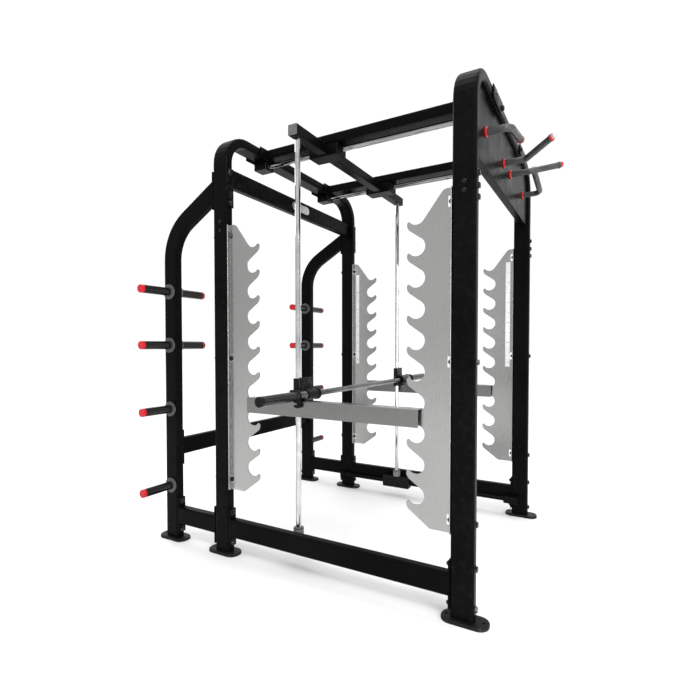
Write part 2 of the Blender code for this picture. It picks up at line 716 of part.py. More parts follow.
# ---------------------------------------------------------------- pegs and grip station
def build_pegs():
    face = HALF_W + TUBE_X / 2 + GAP
    inner_face = HALF_W - TUBE_X / 2 - GAP
    profile = [(0.0, PEG_DISC_R - PEG_EDGE), (PEG_EDGE, PEG_DISC_R)]
    profile += [(PEG_DISC_T - PEG_EDGE, PEG_DISC_R), (PEG_DISC_T, PEG_DISC_R - 1.5 * PEG_EDGE)]
    profile += [(PEG_DISC_T, PEG_R), (PEG_REACH - PEG_CAP_L, PEG_R)]
    profile += [(PEG_REACH, PEG_R - PEG_CAP_STEP)]
    for label, side in SIDES:
        for level, z in enumerate(PEG_LEVELS):
            stations = [(side * (face + x), radius) for x, radius in profile]
            peg = lathe_x(stations, POST_Y, z, 18)
            finish("peg_outer_" + label + "_" + str(level + 1), peg, "peg_black")
        for level, z in enumerate(PEG_INNER_LEVELS):
            stations = [(side * (inner_face - x), radius) for x, radius in profile]
            peg = lathe_x(stations, POST_Y, z, 18)
            finish("peg_inner_" + label + "_" + str(level + 1), peg, "peg_black")


def build_panel():
    reach = HALF_W - TUBE_X / 2 - GAP
    corner = HALF_W - BEND_R
    radius = BEND_R - TUBE_X / 2 - PANEL_CLEAR
    centre_z = FRAME_H - TUBE_X / 2 - BEND_R
    outline = [(-reach, PANEL_LOW_Z), (reach, PANEL_LOW_Z)]
    outline += arc(corner, centre_z, radius, 0, 90, 8)
    outline += arc(-corner, centre_z, radius, 90, 180, 8)
    panel = prism(outline, 1, PANEL_Y, PANEL_Y + PANEL_T)
    lip_z = PANEL_LOW_Z - LIP_DROP
    lip = box((-reach, PANEL_Y, lip_z), (reach, PANEL_Y + LIP_DEPTH, lip_z + PANEL_T), LIP_EDGE)
    finish("pullup_panel", union(panel, lip), "black_paint")


def path_length(points):
    return sum((b - a).length for a, b in zip(points, points[1:]))


def point_at(points, distance):
    """Point and direction at a distance along a polyline."""
    for a, b in zip(points, points[1:]):
        length = (b - a).length
        if distance <= length or b is points[-1]:
            direction = (b - a).normalized()
            return a + direction * distance, direction
        distance -= length
    return points[-1], (points[-1] - points[-2]).normalized()


def build_handle(name, corners):
    """Bent grip tube with a flange at its root, a ring near its tip and a slimmer end."""
    pairs = fillet_path(corners, HANDLE_BEND_R, 6)
    points = [p for p, t in pairs]
    total = path_length(points)
    ring_start, ring_end = (total - back for back in HANDLE_RING_AT)
    place, direction = point_at(points, HANDLE_FLANGE_T)
    stations = [(points[0], pairs[0][1], HANDLE_FLANGE_R)]
    stations += [(place, direction, r) for r in (HANDLE_FLANGE_R, HANDLE_R)]
    stations += [(p, t, HANDLE_R) for p, t in pairs[1:-1]]
    marks = ((ring_start, (HANDLE_R, HANDLE_RING_R)), (ring_end, (HANDLE_RING_R, HANDLE_TIP_R)),
             (total - 0.002, (HANDLE_TIP_R,)), (total - 0.00001, (HANDLE_TIP_END_R,)))
    for distance, radii in marks:
        place, direction = point_at(points, distance)
        stations += [(place, pairs[-1][1], r) for r in radii]
    rings = []
    across = Vector((0, 0, 1))
    for place, tangent, radius in stations:
        across = (across - tangent * across.dot(tangent)).normalized()
        other = tangent.cross(across).normalized()
        rings.append([place + across * a + other * b for a, b in circle(radius, 14)])
    finish(name, loft(rings), "grip_rubber")


def build_handles():
    front = PANEL_Y - GAP
    for label, side in SIDES:
        for kind, root_x, tip in (("outer", OUTER_ROOT_X, OUTER_TIP),
                                  ("inner", INNER_ROOT_X, INNER_TIP)):
            corners = [(side * root_x, front, HANDLE_Z), (side * root_x, HANDLE_BEND_Y, HANDLE_Z),
                       (side * tip[0], tip[1], tip[2])]
            build_handle("pullup_handle_" + kind + "_" + label, corners)


build_frame()
build_combs()
build_safety_arms()
build_rails()
build_trolley()
build_sliders()
build_bar()
build_pegs()
build_panel()
build_handles()
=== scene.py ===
"""Looks for the smith machine: finishes on the CAD nodes, and fittings that the CAD leaves out."""

import math

import bmesh
import bpy
from mathutils import Matrix, Vector


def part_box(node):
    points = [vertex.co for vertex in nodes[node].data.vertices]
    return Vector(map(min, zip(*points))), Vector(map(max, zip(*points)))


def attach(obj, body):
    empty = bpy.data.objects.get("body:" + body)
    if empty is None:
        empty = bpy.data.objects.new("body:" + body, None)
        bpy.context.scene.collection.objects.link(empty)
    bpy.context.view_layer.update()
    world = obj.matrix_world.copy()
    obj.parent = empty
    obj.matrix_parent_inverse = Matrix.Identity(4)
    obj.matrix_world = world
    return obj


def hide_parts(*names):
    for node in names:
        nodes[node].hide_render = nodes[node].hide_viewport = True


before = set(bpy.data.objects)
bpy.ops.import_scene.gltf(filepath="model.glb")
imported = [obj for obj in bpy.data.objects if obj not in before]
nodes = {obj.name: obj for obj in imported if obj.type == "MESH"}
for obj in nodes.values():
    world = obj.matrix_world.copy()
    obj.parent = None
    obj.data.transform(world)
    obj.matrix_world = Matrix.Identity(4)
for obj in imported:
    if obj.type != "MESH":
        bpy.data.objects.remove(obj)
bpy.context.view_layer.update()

SIDES = (("left", -1), ("right", 1))

# ---------------------------------------------------------------- sizes, in metres
TUBE_X = 0.050              # an upright's width; its centre line comes from the arch's box
PLATE_T = 0.008             # joint plates of the base beams and stubs
COMB_STRIP_T = 0.005        # a comb's mounting strip, which lies on the upright's face
TOP_RAIL_R = 0.014
TOP_RAIL_DROP = 0.029       # from the top of its brackets down to the rail's line
LOW_RAIL_R = 0.0125

BOLT_R = 0.0125
BOLT_H = 0.008
NUT_H = 0.010
WASHER_T = 0.002
SMALL_BOLT_R = 0.0065
SMALL_BOLT_H = 0.004
PLUG_R = 0.0095
SINK = 0.0006               # how far a fitting is set into what it sits on
FITTING_EDGE = 0.0012       # rounding of an added plate

COMB_BOLT_INSETS = (0.055, 0.054)       # from a comb's top and from its bottom
COMB_BOLT_MID_DROP = 0.001              # the middle bolt, under the comb's mid height
FRONT_BOLTS_OVER_COMB = (0.041, -0.009)
BASE_BOLT_INSETS = (0.0215, 0.0175)     # from a beam plate's top and from its bottom
PLUG_HEIGHTS = {"front": (1.800, 1.764), "rear": (1.813, 1.765)}

CLAMP_T = 0.006             # plate over a top joint, outside the arch
CLAMP_INSET = 0.001
CLAMP_BOLT_X = 0.080

CROSS_PLATE_HALF_X = 0.024  # plate on the rear arch, at each end of its crossbeam
CROSS_PLATE_T = 0.005
CROSS_PLATE_BELOW = 0.126
CROSS_PLATE_TOP_INSET = 0.017
CROSS_BOLT_INSET = 0.022
CROSS_BOLT_SECOND = 0.072

TROLLEY_BEAM_Z = (2.191, 2.246)
TROLLEY_CAP_HALF = 0.0265
TROLLEY_CAP_T = 0.004
TROLLEY_CAP_EDGE = 0.0018

COLLAR_BORE_R = 0.0150      # collar round the foot of a guide rod
COLLAR_R = 0.0268
COLLAR_START = 0.043        # below the carriage's top

CHEEK_AHEAD = 0.036         # slider cheek face ahead of the guide rod's centre
SLIDER_BOLT_X = 0.025
SLIDER_BOLT_DROPS = (0.033, 0.053)

STRIP_W = 0.030             # level strip on a comb
STRIP_INSET = 0.022
STRIP_LOW_Z = 1.000
STRIP_TOP_INSET = 0.085
COMB_HALF_T = 0.004
MARK_COUNT = 11             # at most; a comb's marks stop below its top
MARK_FIRST = 0.030
MARK_PITCH = 0.067
MARK_HALF_H = 0.0012
MARK_TOP_INSET = 0.100
MARK_SIDE = 0.002

PEG_R = 0.0235
PEG_DISC_R = 0.043
PEG_DISC_T = 0.011
PEG_EDGE = 0.002
PEG_CAP_L = 0.020
PEG_GROOVE_W = 0.0012
PEG_GROOVE_D = 0.0008
SLEEVE_BORE_R = 0.0128
SLEEVE_EDGE = 0.002
SLEEVE_GROOVE_D = 0.0012

# ---------------------------------------------------------------- shared colours
PAINT_DARK = (0.0018, 0.0018, 0.0019)
PAINT_LIGHT = (0.0032, 0.0032, 0.0034)
PAINT_WORN = (0.05, 0.05, 0.05)
GRIP_RED = (0.50, 0.014, 0.010)


# ---------------------------------------------------------------- materials
class Look:
    """A procedural finish: broad colour drift, roughness drift, fine bump, and an edge mask for
    worn edges and for painted edge highlights.
    """

    def __init__(self, name, metallic=0.0, specular=0.5):
        self.mat = bpy.data.materials.new(name)
        self.mat.use_nodes = True
        self.tree = self.mat.node_tree
        self.shader = self.tree.nodes["Principled BSDF"]
        self.shader.inputs["Metallic"].default_value = metallic
        self.shader.inputs["Specular IOR Level"].default_value = specular
        self.coords = self.tree.nodes.new("ShaderNodeTexCoord").outputs["Object"]

    def noise(self, scale, detail=4.0, stretch=(1, 1, 1)):
        mapping = self.tree.nodes.new("ShaderNodeMapping")
        mapping.inputs["Scale"].default_value = stretch
        self.tree.links.new(self.coords, mapping.inputs["Vector"])
        noise = self.tree.nodes.new("ShaderNodeTexNoise")
        noise.inputs["Scale"].default_value = scale
        noise.inputs["Detail"].default_value = detail
        self.tree.links.new(mapping.outputs["Vector"], noise.inputs["Vector"])
        return noise.outputs["Fac"]

    def remap(self, value, low, high, to_low, to_high):
        node = self.tree.nodes.new("ShaderNodeMapRange")
        for socket, number in zip(("From Min", "From Max", "To Min", "To Max"),
                                  (low, high, to_low, to_high)):
            node.inputs[socket].default_value = number
        self.tree.links.new(value, node.inputs["Value"])
        return node.outputs["Result"]

    def times(self, a, b):
        node = self.tree.nodes.new("ShaderNodeMath")
        node.operation = "MULTIPLY"
        self.tree.links.new(a, node.inputs[0])
        self.tree.links.new(b, node.inputs[1])
        return node.outputs[0]

    def mix(self, factor, a, b):
        """Mixes two colours, each a socket or a tuple."""
        node = self.tree.nodes.new("ShaderNodeMix")
        node.data_type = "RGBA"
        self.tree.links.new(factor, node.inputs["Factor"])
        colours = [s for s in node.inputs if s.type == "RGBA"]
        for socket, colour in zip(colours, (a, b)):
            if isinstance(colour, tuple):
                socket.default_value = (*colour, 1.0)
            else:
                self.tree.links.new(colour, socket)
        return [s for s in node.outputs if s.type == "RGBA"][0]

    def edge(self, low, high):
        geometry = self.tree.nodes.new("ShaderNodeNewGeometry")
        return self.remap(geometry.outputs["Pointiness"], low, high, 0.0, 1.0)

    def surface(self, colour, rough, height, strength, distance):
        self.tree.links.new(colour, self.shader.inputs["Base Color"])
        self.tree.links.new(rough, self.shader.inputs["Roughness"])
        bump = self.tree.nodes.new("ShaderNodeBump")
        bump.inputs["Strength"].default_value = strength
        bump.inputs["Distance"].default_value = distance
        self.tree.links.new(height, bump.inputs["Height"])
        self.tree.links.new(bump.outputs["Normal"], self.shader.inputs["Normal"])
        return self.mat


def coated(name, dark, light, rough, worn, wear=0.35, specular=0.3, peel=420.0):
    """Powder coat or moulded plastic, with a fine peel and edges rubbed towards worn."""
    look = Look(name, specular=specular)
    drift = look.remap(look.noise(3.5), 0.35, 0.65, 0.0, 1.0)
    colour = look.mix(drift, dark, light)
    scuffs = look.remap(look.noise(38.0, 6.0), 0.50, 0.68, 0.0, wear)
    colour = look.mix(look.times(look.edge(0.53, 0.62), scuffs), colour, worn)
    roughness = look.remap(look.noise(11.0, 5.0), 0.3, 0.7, rough - 0.05, rough + 0.07)
    return look.surface(colour, roughness, look.noise(peel, 2.0), 0.10, 0.0004)


def brushed(name, dark, light, rough, along):
    """Metal with brush lines along one axis, and its convex edges lightened as a painted
    highlight.
    """
    stretch = [1.0, 1.0, 1.0]
    stretch["XYZ".index(along)] = 0.02
    look = Look(name, metallic=1.0)
    lines = look.noise(1500.0, 3.0, stretch)
    clouds = look.noise(3.0, 2.0)
    colour = look.mix(look.remap(lines, 0.2, 0.8, 0.3, 0.7), dark, light)
    colour = look.mix(look.remap(clouds, 0.35, 0.7, 0.0, 0.35), colour, dark)
    # painted highlight: convex edges mixed toward the light tone, where light catches them
    colour = look.mix(look.edge(0.54, 0.66), colour, light)
    roughness = look.remap(lines, 0.3, 0.7, rough - 0.04, rough + 0.05)
    return look.surface(colour, roughness, lines, 0.05, 0.0002)


def polished(name, dark, light, rough):
    """Chrome or polished metal, with faint wiping marks."""
    look = Look(name, metallic=1.0)
    colour = look.mix(look.remap(look.noise(14.0), 0.35, 0.65, 0.0, 1.0), dark, light)
    marks = look.noise(60.0, 6.0, (1.0, 1.0, 0.15))
    roughness = look.remap(marks, 0.4, 0.75, rough, rough + 0.08)
    return look.surface(colour, roughness, marks, 0.02, 0.0002)


PAINT = coated("frame_paint", PAINT_DARK, PAINT_LIGHT, 0.30, PAINT_WORN, specular=0.035)
FOOT = coated("foot_paint", (0.004, 0.004, 0.0042), (0.008, 0.008, 0.0085), 0.40,
              (0.22, 0.22, 0.22), wear=0.9, specular=0.12)
SLIDER = coated("slider_black", (0.0025, 0.0025, 0.0026), (0.005, 0.005, 0.0052), 0.28,
                (0.10, 0.10, 0.10), specular=0.12)
PLATE = brushed("brushed_plate", (0.30, 0.30, 0.295), (0.44, 0.44, 0.435), 0.27, "Z")
ARM_PLATE = brushed("brushed_arm", (0.15, 0.15, 0.147), (0.24, 0.24, 0.236), 0.27, "Y")
CHROME = polished("chrome", (0.46, 0.47, 0.48), (0.60, 0.61, 0.62), 0.06)
DARK_STEEL = polished("dark_steel", (0.10, 0.10, 0.105), (0.17, 0.17, 0.175), 0.16)
BADGE = brushed("badge_silver", (0.55, 0.55, 0.56), (0.78, 0.78, 0.79), 0.28, "X")
GLOSS = coated("gloss_sleeve", (0.004, 0.004, 0.004), (0.008, 0.008, 0.008), 0.16,
               (0.12, 0.12, 0.12), specular=0.30, peel=160.0)
DISC = coated("disc_grey", (0.055, 0.055, 0.058), (0.085, 0.085, 0.09), 0.36,
              (0.25, 0.25, 0.25))
RED = coated("cap_red", (0.44, 0.006, 0.012), (0.58, 0.010, 0.020), 0.34, (0.70, 0.16, 0.16),
             specular=0.3)
GREY = coated("cap_grey", (0.10, 0.10, 0.105), (0.15, 0.15, 0.155), 0.42, (0.35, 0.35, 0.35))
BOLT = coated("bolt_black", (0.003, 0.003, 0.003), (0.007, 0.007, 0.007), 0.26,
              (0.22, 0.22, 0.22), wear=0.8, specular=0.2)
ZINC = polished("zinc", (0.05, 0.05, 0.052), (0.09, 0.09, 0.092), 0.30)
MARK = coated("mark_white", (0.68, 0.68, 0.68), (0.80, 0.80, 0.80), 0.5, (0.5, 0.5, 0.5))


# ---------------------------------------------------------------- finishes on the CAD nodes
def refine(obj, mat, width=0.0010):
    """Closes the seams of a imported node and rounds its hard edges, without touching its mesh."""
    obj.data.materials.clear()
    obj.data.materials.append(mat)
    for polygon in obj.data.polygons:
        polygon.material_index = 0
    weld = obj.modifiers.new("weld", "WELD")
    weld.merge_threshold = 0.00001
    bevel = obj.modifiers.new("bevel", "BEVEL")
    bevel.width = width
    bevel.segments = 2
    bevel.limit_method = "ANGLE"
    bevel.angle_limit = math.radians(38)
    bevel.harden_normals = True


def handle_look(name, node):
    """A grip: rubbery tube, red flange at the panel, red ring and bright tip at the free end.

    The ring and the tip are the parts of the grip within a short distance of its free end.
    """
    low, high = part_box(node)
    side = -1 if low.x < 0 else 1
    look = Look(name, specular=0.4)
    outer = "outer" in node
    inner_x, outer_x = sorted((abs(low.x), abs(high.x)))
    tip_x = inner_x + 0.002 if outer else outer_x - 0.002
    tip = (side * tip_x, low.y + (0.018 if outer else 0.004), high.z - 0.014)

    def nearer_than(reach, point):
        gap = look.tree.nodes.new("ShaderNodeVectorMath")
        gap.operation = "DISTANCE"
        gap.inputs[1].default_value = point
        look.tree.links.new(look.coords, gap.inputs[0])
        return look.remap(gap.outputs["Value"], reach + 0.0006, reach - 0.0006, 0.0, 1.0)

    split = look.tree.nodes.new("ShaderNodeSeparateXYZ")
    look.tree.links.new(look.coords, split.inputs[0])
    flange = look.remap(split.outputs["Y"], high.y - 0.0085, high.y - 0.0075, 0.0, 1.0)
    drift = look.remap(look.noise(20.0), 0.35, 0.65, 0.0, 1.0)
    colour = look.mix(drift, (0.030, 0.030, 0.032), (0.055, 0.055, 0.058))
    colour = look.mix(flange, colour, GRIP_RED)
    colour = look.mix(nearer_than(0.034, tip), colour, GRIP_RED)
    colour = look.mix(nearer_than(0.024, tip), colour, (0.50, 0.50, 0.51))
    worn = look.times(look.edge(0.53, 0.62), look.remap(look.noise(40.0), 0.5, 0.7, 0.0, 0.5))
    colour = look.mix(worn, colour, (0.3, 0.3, 0.3))
    rough = look.remap(look.noise(18.0, 5.0), 0.3, 0.7, 0.30, 0.44)
    return look.surface(colour, rough, look.noise(650.0, 2.0), 0.12, 0.0004)


def rail_look(name, node):
    """A chromed rod along Y, with everything further from its line painted like the frame."""
    low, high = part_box(node)
    if node.startswith("top_rail"):
        radius, height = TOP_RAIL_R, high.z - TOP_RAIL_DROP
    else:
        radius, height = LOW_RAIL_R, (low.z + high.z) / 2
    look = Look(name, specular=0.06)
    offset = look.tree.nodes.new("ShaderNodeVectorMath")
    offset.operation = "DISTANCE"
    flat = look.tree.nodes.new("ShaderNodeVectorMath")
    flat.operation = "MULTIPLY"
    flat.inputs[1].default_value = (1, 0, 1)
    look.tree.links.new(look.coords, flat.inputs[0])
    look.tree.links.new(flat.outputs["Vector"], offset.inputs[0])
    offset.inputs[1].default_value = ((low.x + high.x) / 2, 0, height)
    rod = look.remap(offset.outputs["Value"], radius + 0.0005, radius + 0.0002, 0.0, 1.0)
    look.tree.links.new(rod, look.shader.inputs["Metallic"])
    drift = look.remap(look.noise(3.5), 0.35, 0.65, 0.0, 1.0)
    paint = look.mix(drift, PAINT_DARK, PAINT_LIGHT)
    steel = look.mix(drift, (0.22, 0.22, 0.23), (0.34, 0.34, 0.35))
    worn = look.times(look.edge(0.53, 0.62), look.remap(look.noise(40.0), 0.5, 0.7, 0.0, 0.4))
    paint = look.mix(worn, paint, PAINT_WORN)
    marks = look.remap(look.noise(18.0, 5.0), 0.3, 0.7, 0.24, 0.34)
    rough = look.remap(rod, 0.0, 1.0, 1.0, 0.25)
    return look.surface(look.mix(rod, paint, steel), look.times(marks, rough),
                        look.noise(420.0, 2.0), 0.04, 0.0003)


LOOK_OF = (("foot_", FOOT), ("comb_", PLATE), ("safety_arm", ARM_PLATE),
           ("guide_rod", CHROME), ("bar_shaft", DARK_STEEL), ("badge_plate", BADGE),
           ("bar_slider", SLIDER), ("bar_hook", SLIDER), ("lower_carriage", SLIDER))
FINE_EDGE = 0.0006          # for thin or small nodes
FINE_NODES = ("comb_", "bar_", "badge")
for name, obj in nodes.items():
    if name.startswith("pullup_handle"):
        refine(obj, handle_look(name + "_look", name), FINE_EDGE)
    elif name.startswith(("top_rail", "bottom_rail")):
        refine(obj, rail_look(name + "_look", name))
    else:
        mat = next((m for start, m in LOOK_OF if name.startswith(start)), PAINT)
        if name.startswith(FINE_NODES):
            refine(obj, mat, FINE_EDGE)
        else:
            refine(obj, mat)


# ---------------------------------------------------------------- shapes
TURN = {"+X": Matrix.Rotation(math.pi / 2, 4, "Y"), "-X": Matrix.Rotation(-math.pi / 2, 4, "Y"),
        "+Y": Matrix.Rotation(-math.pi / 2, 4, "X"), "-Y": Matrix.Rotation(math.pi / 2, 4, "X"),
        "+Z": Matrix.Identity(4)}


def turned(bm, at, facing, profile, count, mat=0, mats=None):
    """A closed turned solid: profile is (height, radius) outwards along facing.

    mat is the material of the whole solid, or mats has one for each step of the profile.
    """
    matrix = Matrix.Translation(at) @ TURN[facing]
    rings = []
    for height, radius in profile:
        ring = []
        for i in range(count if radius > 0 else 1):
            angle = 2 * math.pi * i / count
            spot = Vector((radius * math.cos(angle), radius * math.sin(angle), height))
            ring.append(bm.verts.new(matrix @ spot))
        rings.append(ring)
    for step, (a, b) in enumerate(zip(rings, rings[1:])):
        for i in range(count):
            j = (i + 1) % count
            corners = [a[0]] if len(a) == 1 else [a[i], a[j]]
            corners += [b[0]] if len(b) == 1 else [b[j], b[i]]
            face = bm.faces.new(corners)
            face.material_index = mats[step] if mats else mat
            face.smooth = count > 8


def slab(bm, low, high, edge, mat=0):
    """A box between two corners, with its edges rounded."""
    made = bmesh.ops.create_cube(bm, size=1.0)["verts"]
    for vert in made:
        vert.co = Vector([lo + (hi - lo) * (c + 0.5) for lo, hi, c in zip(low, high, vert.co)])
    faces = {f for v in made for f in v.link_faces}
    edges = list({e for v in made for e in v.link_edges})
    for face in faces:
        face.material_index = mat
    bmesh.ops.bevel(bm, geom=edges, offset=edge, segments=2, profile=0.5, affect="EDGES",
                    material=mat)


def bolt(bm, at, facing, radius=BOLT_R, height=BOLT_H, head=0, washer=1):
    """A chamfered hexagon head on a washer. head and washer are their material numbers."""
    turned(bm, at, facing, ((-SINK, 0), (-SINK, radius * 1.32), (WASHER_T * 0.7, radius * 1.32),
                            (WASHER_T, radius * 1.26), (WASHER_T, 0)), 24, washer)
    top = WASHER_T + height
    turned(bm, at, facing, ((WASHER_T - SINK, 0), (WASHER_T - SINK, radius),
                            (top - 0.0015, radius), (top, radius * 0.88), (top, 0)), 6, head)


def acorn(bm, at, facing, radius):
    """A domed nut on a washer."""
    bolt(bm, at, facing, radius, NUT_H * 0.55)
    base = WASHER_T + NUT_H * 0.55 - SINK
    dome = [(base, 0), (base, radius * 0.80)]
    for step in range(1, 5):
        angle = step * math.pi / 8
        dome.append((base + radius * 0.62 * math.sin(angle), radius * 0.80 * math.cos(angle)))
    turned(bm, at, facing, dome[:-1] + [(base + radius * 0.62, 0)], 20)


def plug(bm, at, facing):
    """A shallow cap over a hole, with a dished middle."""
    turned(bm, at, facing, ((-SINK, 0), (-SINK, PLUG_R), (0.0012, PLUG_R), (0.0022, PLUG_R * 0.8),
                            (0.0016, PLUG_R * 0.55), (0.0016, 0)), 24)


def make(name, bm, mats, body, replaces=()):
    """Turns the finished bmesh into a piece that rides on a body."""
    bmesh.ops.recalc_face_normals(bm, faces=bm.faces)
    mesh = bpy.data.meshes.new(name)
    bm.to_mesh(mesh)
    bm.free()
    for mat in mats:
        mesh.materials.append(mat)
    obj = bpy.data.objects.new(name, mesh)
    bpy.context.scene.collection.objects.link(obj)
    mesh.set_sharp_from_angle(angle=math.radians(35))
    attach(obj, body)
    if replaces:
        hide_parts(*replaces)


# ---------------------------------------------------------------- where things are
front_low, front_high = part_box("front_arch")
rear_low, rear_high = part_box("rear_arch")
LINE_X = front_high.x - TUBE_X / 2
post_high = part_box("storage_post_left")[1]
FRAME = "frame"

# ---------------------------------------------------------------- frame bolts
bm = bmesh.new()
for label, side in SIDES:
    x = side * LINE_X
    for row, arch_face, facing, inner_face, inner in (
            ("front", front_low.y, "-Y", front_high.y, "+Y"),
            ("rear", rear_high.y, "+Y", rear_low.y, "-Y")):
        low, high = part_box("comb_" + row + "_" + label)
        shift = COMB_STRIP_T if inner == "+Y" else -COMB_STRIP_T
        for z in (high.z - COMB_BOLT_INSETS[0], (low.z + high.z) / 2 - COMB_BOLT_MID_DROP,
                  low.z + COMB_BOLT_INSETS[1]):
            bolt(bm, (x, arch_face, z), facing)
            acorn(bm, (x, inner_face + shift, z), inner, BOLT_R * 0.88)
        if row == "front":
            for rise in FRONT_BOLTS_OVER_COMB:
                bolt(bm, (x, arch_face, high.z + rise), facing)
make("comb_bolts", bm, [BOLT, ZINC], FRAME)

bm = bmesh.new()
for label, side in SIDES:
    x = side * LINE_X
    low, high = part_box("base_beam_" + label)
    for z in (high.z - BASE_BOLT_INSETS[0], low.z + BASE_BOLT_INSETS[1]):
        bolt(bm, (x, front_low.y, z), "-Y")
        acorn(bm, (x, low.y + PLATE_T, z), "+Y", BOLT_R * 0.9)
        acorn(bm, (x, high.y - PLATE_T, z), "-Y", BOLT_R * 0.9)
    low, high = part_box("base_stub_" + label)
    for z in (high.z - BASE_BOLT_INSETS[0], low.z + BASE_BOLT_INSETS[1]):
        acorn(bm, (x, low.y + PLATE_T, z), "+Y", BOLT_R * 0.9)
        acorn(bm, (x, high.y - PLATE_T, z), "-Y", BOLT_R * 0.9)
        bolt(bm, (x, post_high.y, z), "+Y")
make("base_bolts", bm, [BOLT, ZINC], FRAME)

# ---------------------------------------------------------------- hole plugs on the outer faces
bm = bmesh.new()
for _, side in SIDES:
    facing = "-X" if side < 0 else "+X"
    for row, y in (("front", (front_low.y + front_high.y) / 2),
                   ("rear", (rear_low.y + rear_high.y) / 2)):
        for z in PLUG_HEIGHTS[row]:
            plug(bm, (side * front_high.x, y, z), facing)
make("hole_plugs", bm, [BOLT], FRAME)

# ---------------------------------------------------------------- top joints
bm = bmesh.new()
for label, side in SIDES:
    low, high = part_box("top_beam_" + label)
    mid = (low.x + high.x) / 2
    for face, facing, sign in ((front_low.y, "-Y", -1), (rear_high.y, "+Y", 1)):
        edges = sorted((face - sign * SINK, face + sign * CLAMP_T))
        slab(bm, (low.x + CLAMP_INSET, edges[0], low.z + CLAMP_INSET),
             (high.x - CLAMP_INSET, edges[1], high.z - CLAMP_INSET), FITTING_EDGE)
        for offset in (-CLAMP_BOLT_X, CLAMP_BOLT_X):
            bolt(bm, (mid + offset, face + sign * CLAMP_T, (low.z + high.z) / 2), facing,
                 head=1, washer=1)
make("top_clamps", bm, [PAINT, BOLT], FRAME)

bm = bmesh.new()
low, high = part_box("rear_crossbeam")
low_z, high_z = low.z - CROSS_PLATE_BELOW, high.z - CROSS_PLATE_TOP_INSET
for _, side in SIDES:
    x = side * LINE_X
    slab(bm, (x - CROSS_PLATE_HALF_X, rear_low.y - CROSS_PLATE_T, low_z),
         (x + CROSS_PLATE_HALF_X, rear_low.y + SINK, high_z), FITTING_EDGE)
    for z in (low_z + CROSS_BOLT_INSET, low_z + CROSS_BOLT_SECOND, high_z - CROSS_BOLT_INSET):
        bolt(bm, (x, rear_low.y - CROSS_PLATE_T, z), "-Y", BOLT_R * 0.9, head=1, washer=1)
make("crossbeam_plates", bm, [PAINT, BOLT], FRAME)

# ---------------------------------------------------------------- trolley end caps and carriages
bm = bmesh.new()
low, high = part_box("trolley_beam")
mid_y = (low.y + high.y) / 2
mid_z = sum(TROLLEY_BEAM_Z) / 2
for _, side in SIDES:
    face_x = side * high.x
    edges = sorted((face_x - side * SINK, face_x + side * TROLLEY_CAP_T))
    slab(bm, (edges[0], mid_y - TROLLEY_CAP_HALF, mid_z - TROLLEY_CAP_HALF),
         (edges[1], mid_y + TROLLEY_CAP_HALF, mid_z + TROLLEY_CAP_HALF), TROLLEY_CAP_EDGE)
make("trolley_caps", bm, [GREY], "trolley")

bm = bmesh.new()
for label, _ in SIDES:
    low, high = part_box("guide_rod_" + label)
    x, y = (low.x + high.x) / 2, (low.y + high.y) / 2
    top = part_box("lower_carriage_" + label)[1].z
    turned(bm, (x, y, top - COLLAR_START), "+Z",
           ((0, COLLAR_BORE_R), (0, COLLAR_R), (0.038, COLLAR_R), (0.0415, 0.0245),
            (0.0435, 0.0205), (0.0435, COLLAR_BORE_R), (0, COLLAR_BORE_R)), 32)
make("carriage_collars", bm, [GREY], "trolley")

# ---------------------------------------------------------------- slider bolts
bm = bmesh.new()
for label, side in SIDES:
    low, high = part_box("bar_slider_" + label)
    rod_low, rod_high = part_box("guide_rod_" + label)
    cheek_y = (rod_low.y + rod_high.y) / 2 - CHEEK_AHEAD
    inner_x = min(abs(low.x), abs(high.x))
    for drop in SLIDER_BOLT_DROPS:
        bolt(bm, (side * (inner_x + SLIDER_BOLT_X), cheek_y, high.z - drop), "-Y",
             SMALL_BOLT_R, SMALL_BOLT_H)
make("slider_bolts", bm, [ZINC, ZINC], "bar_carriage")

# ---------------------------------------------------------------- level marks
bm = bmesh.new()
for label, side in SIDES:
    for row in ("front", "rear"):
        low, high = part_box("comb_" + row + "_" + label)
        face_x = side * (LINE_X - COMB_HALF_T)
        start = low.y + STRIP_INSET if row == "front" else high.y - STRIP_INSET - STRIP_W
        edges = sorted((face_x + side * 0.0002, face_x - side * 0.0005))
        slab(bm, (edges[0], start, STRIP_LOW_Z),
             (edges[1], start + STRIP_W, high.z - STRIP_TOP_INSET), 0.0001)
        edges = sorted((face_x, face_x - side * 0.0008))
        for index in range(MARK_COUNT):
            z = STRIP_LOW_Z + MARK_FIRST + index * MARK_PITCH
            if z > high.z - MARK_TOP_INSET:
                break
            width = STRIP_W * (0.7 if index % 2 == 0 else 0.4)
            slab(bm, (edges[0], start + MARK_SIDE, z - MARK_HALF_H),
                 (edges[1], start + width, z + MARK_HALF_H), 0.0001, 1)
make("level_marks", bm, [MARK, BOLT], FRAME)

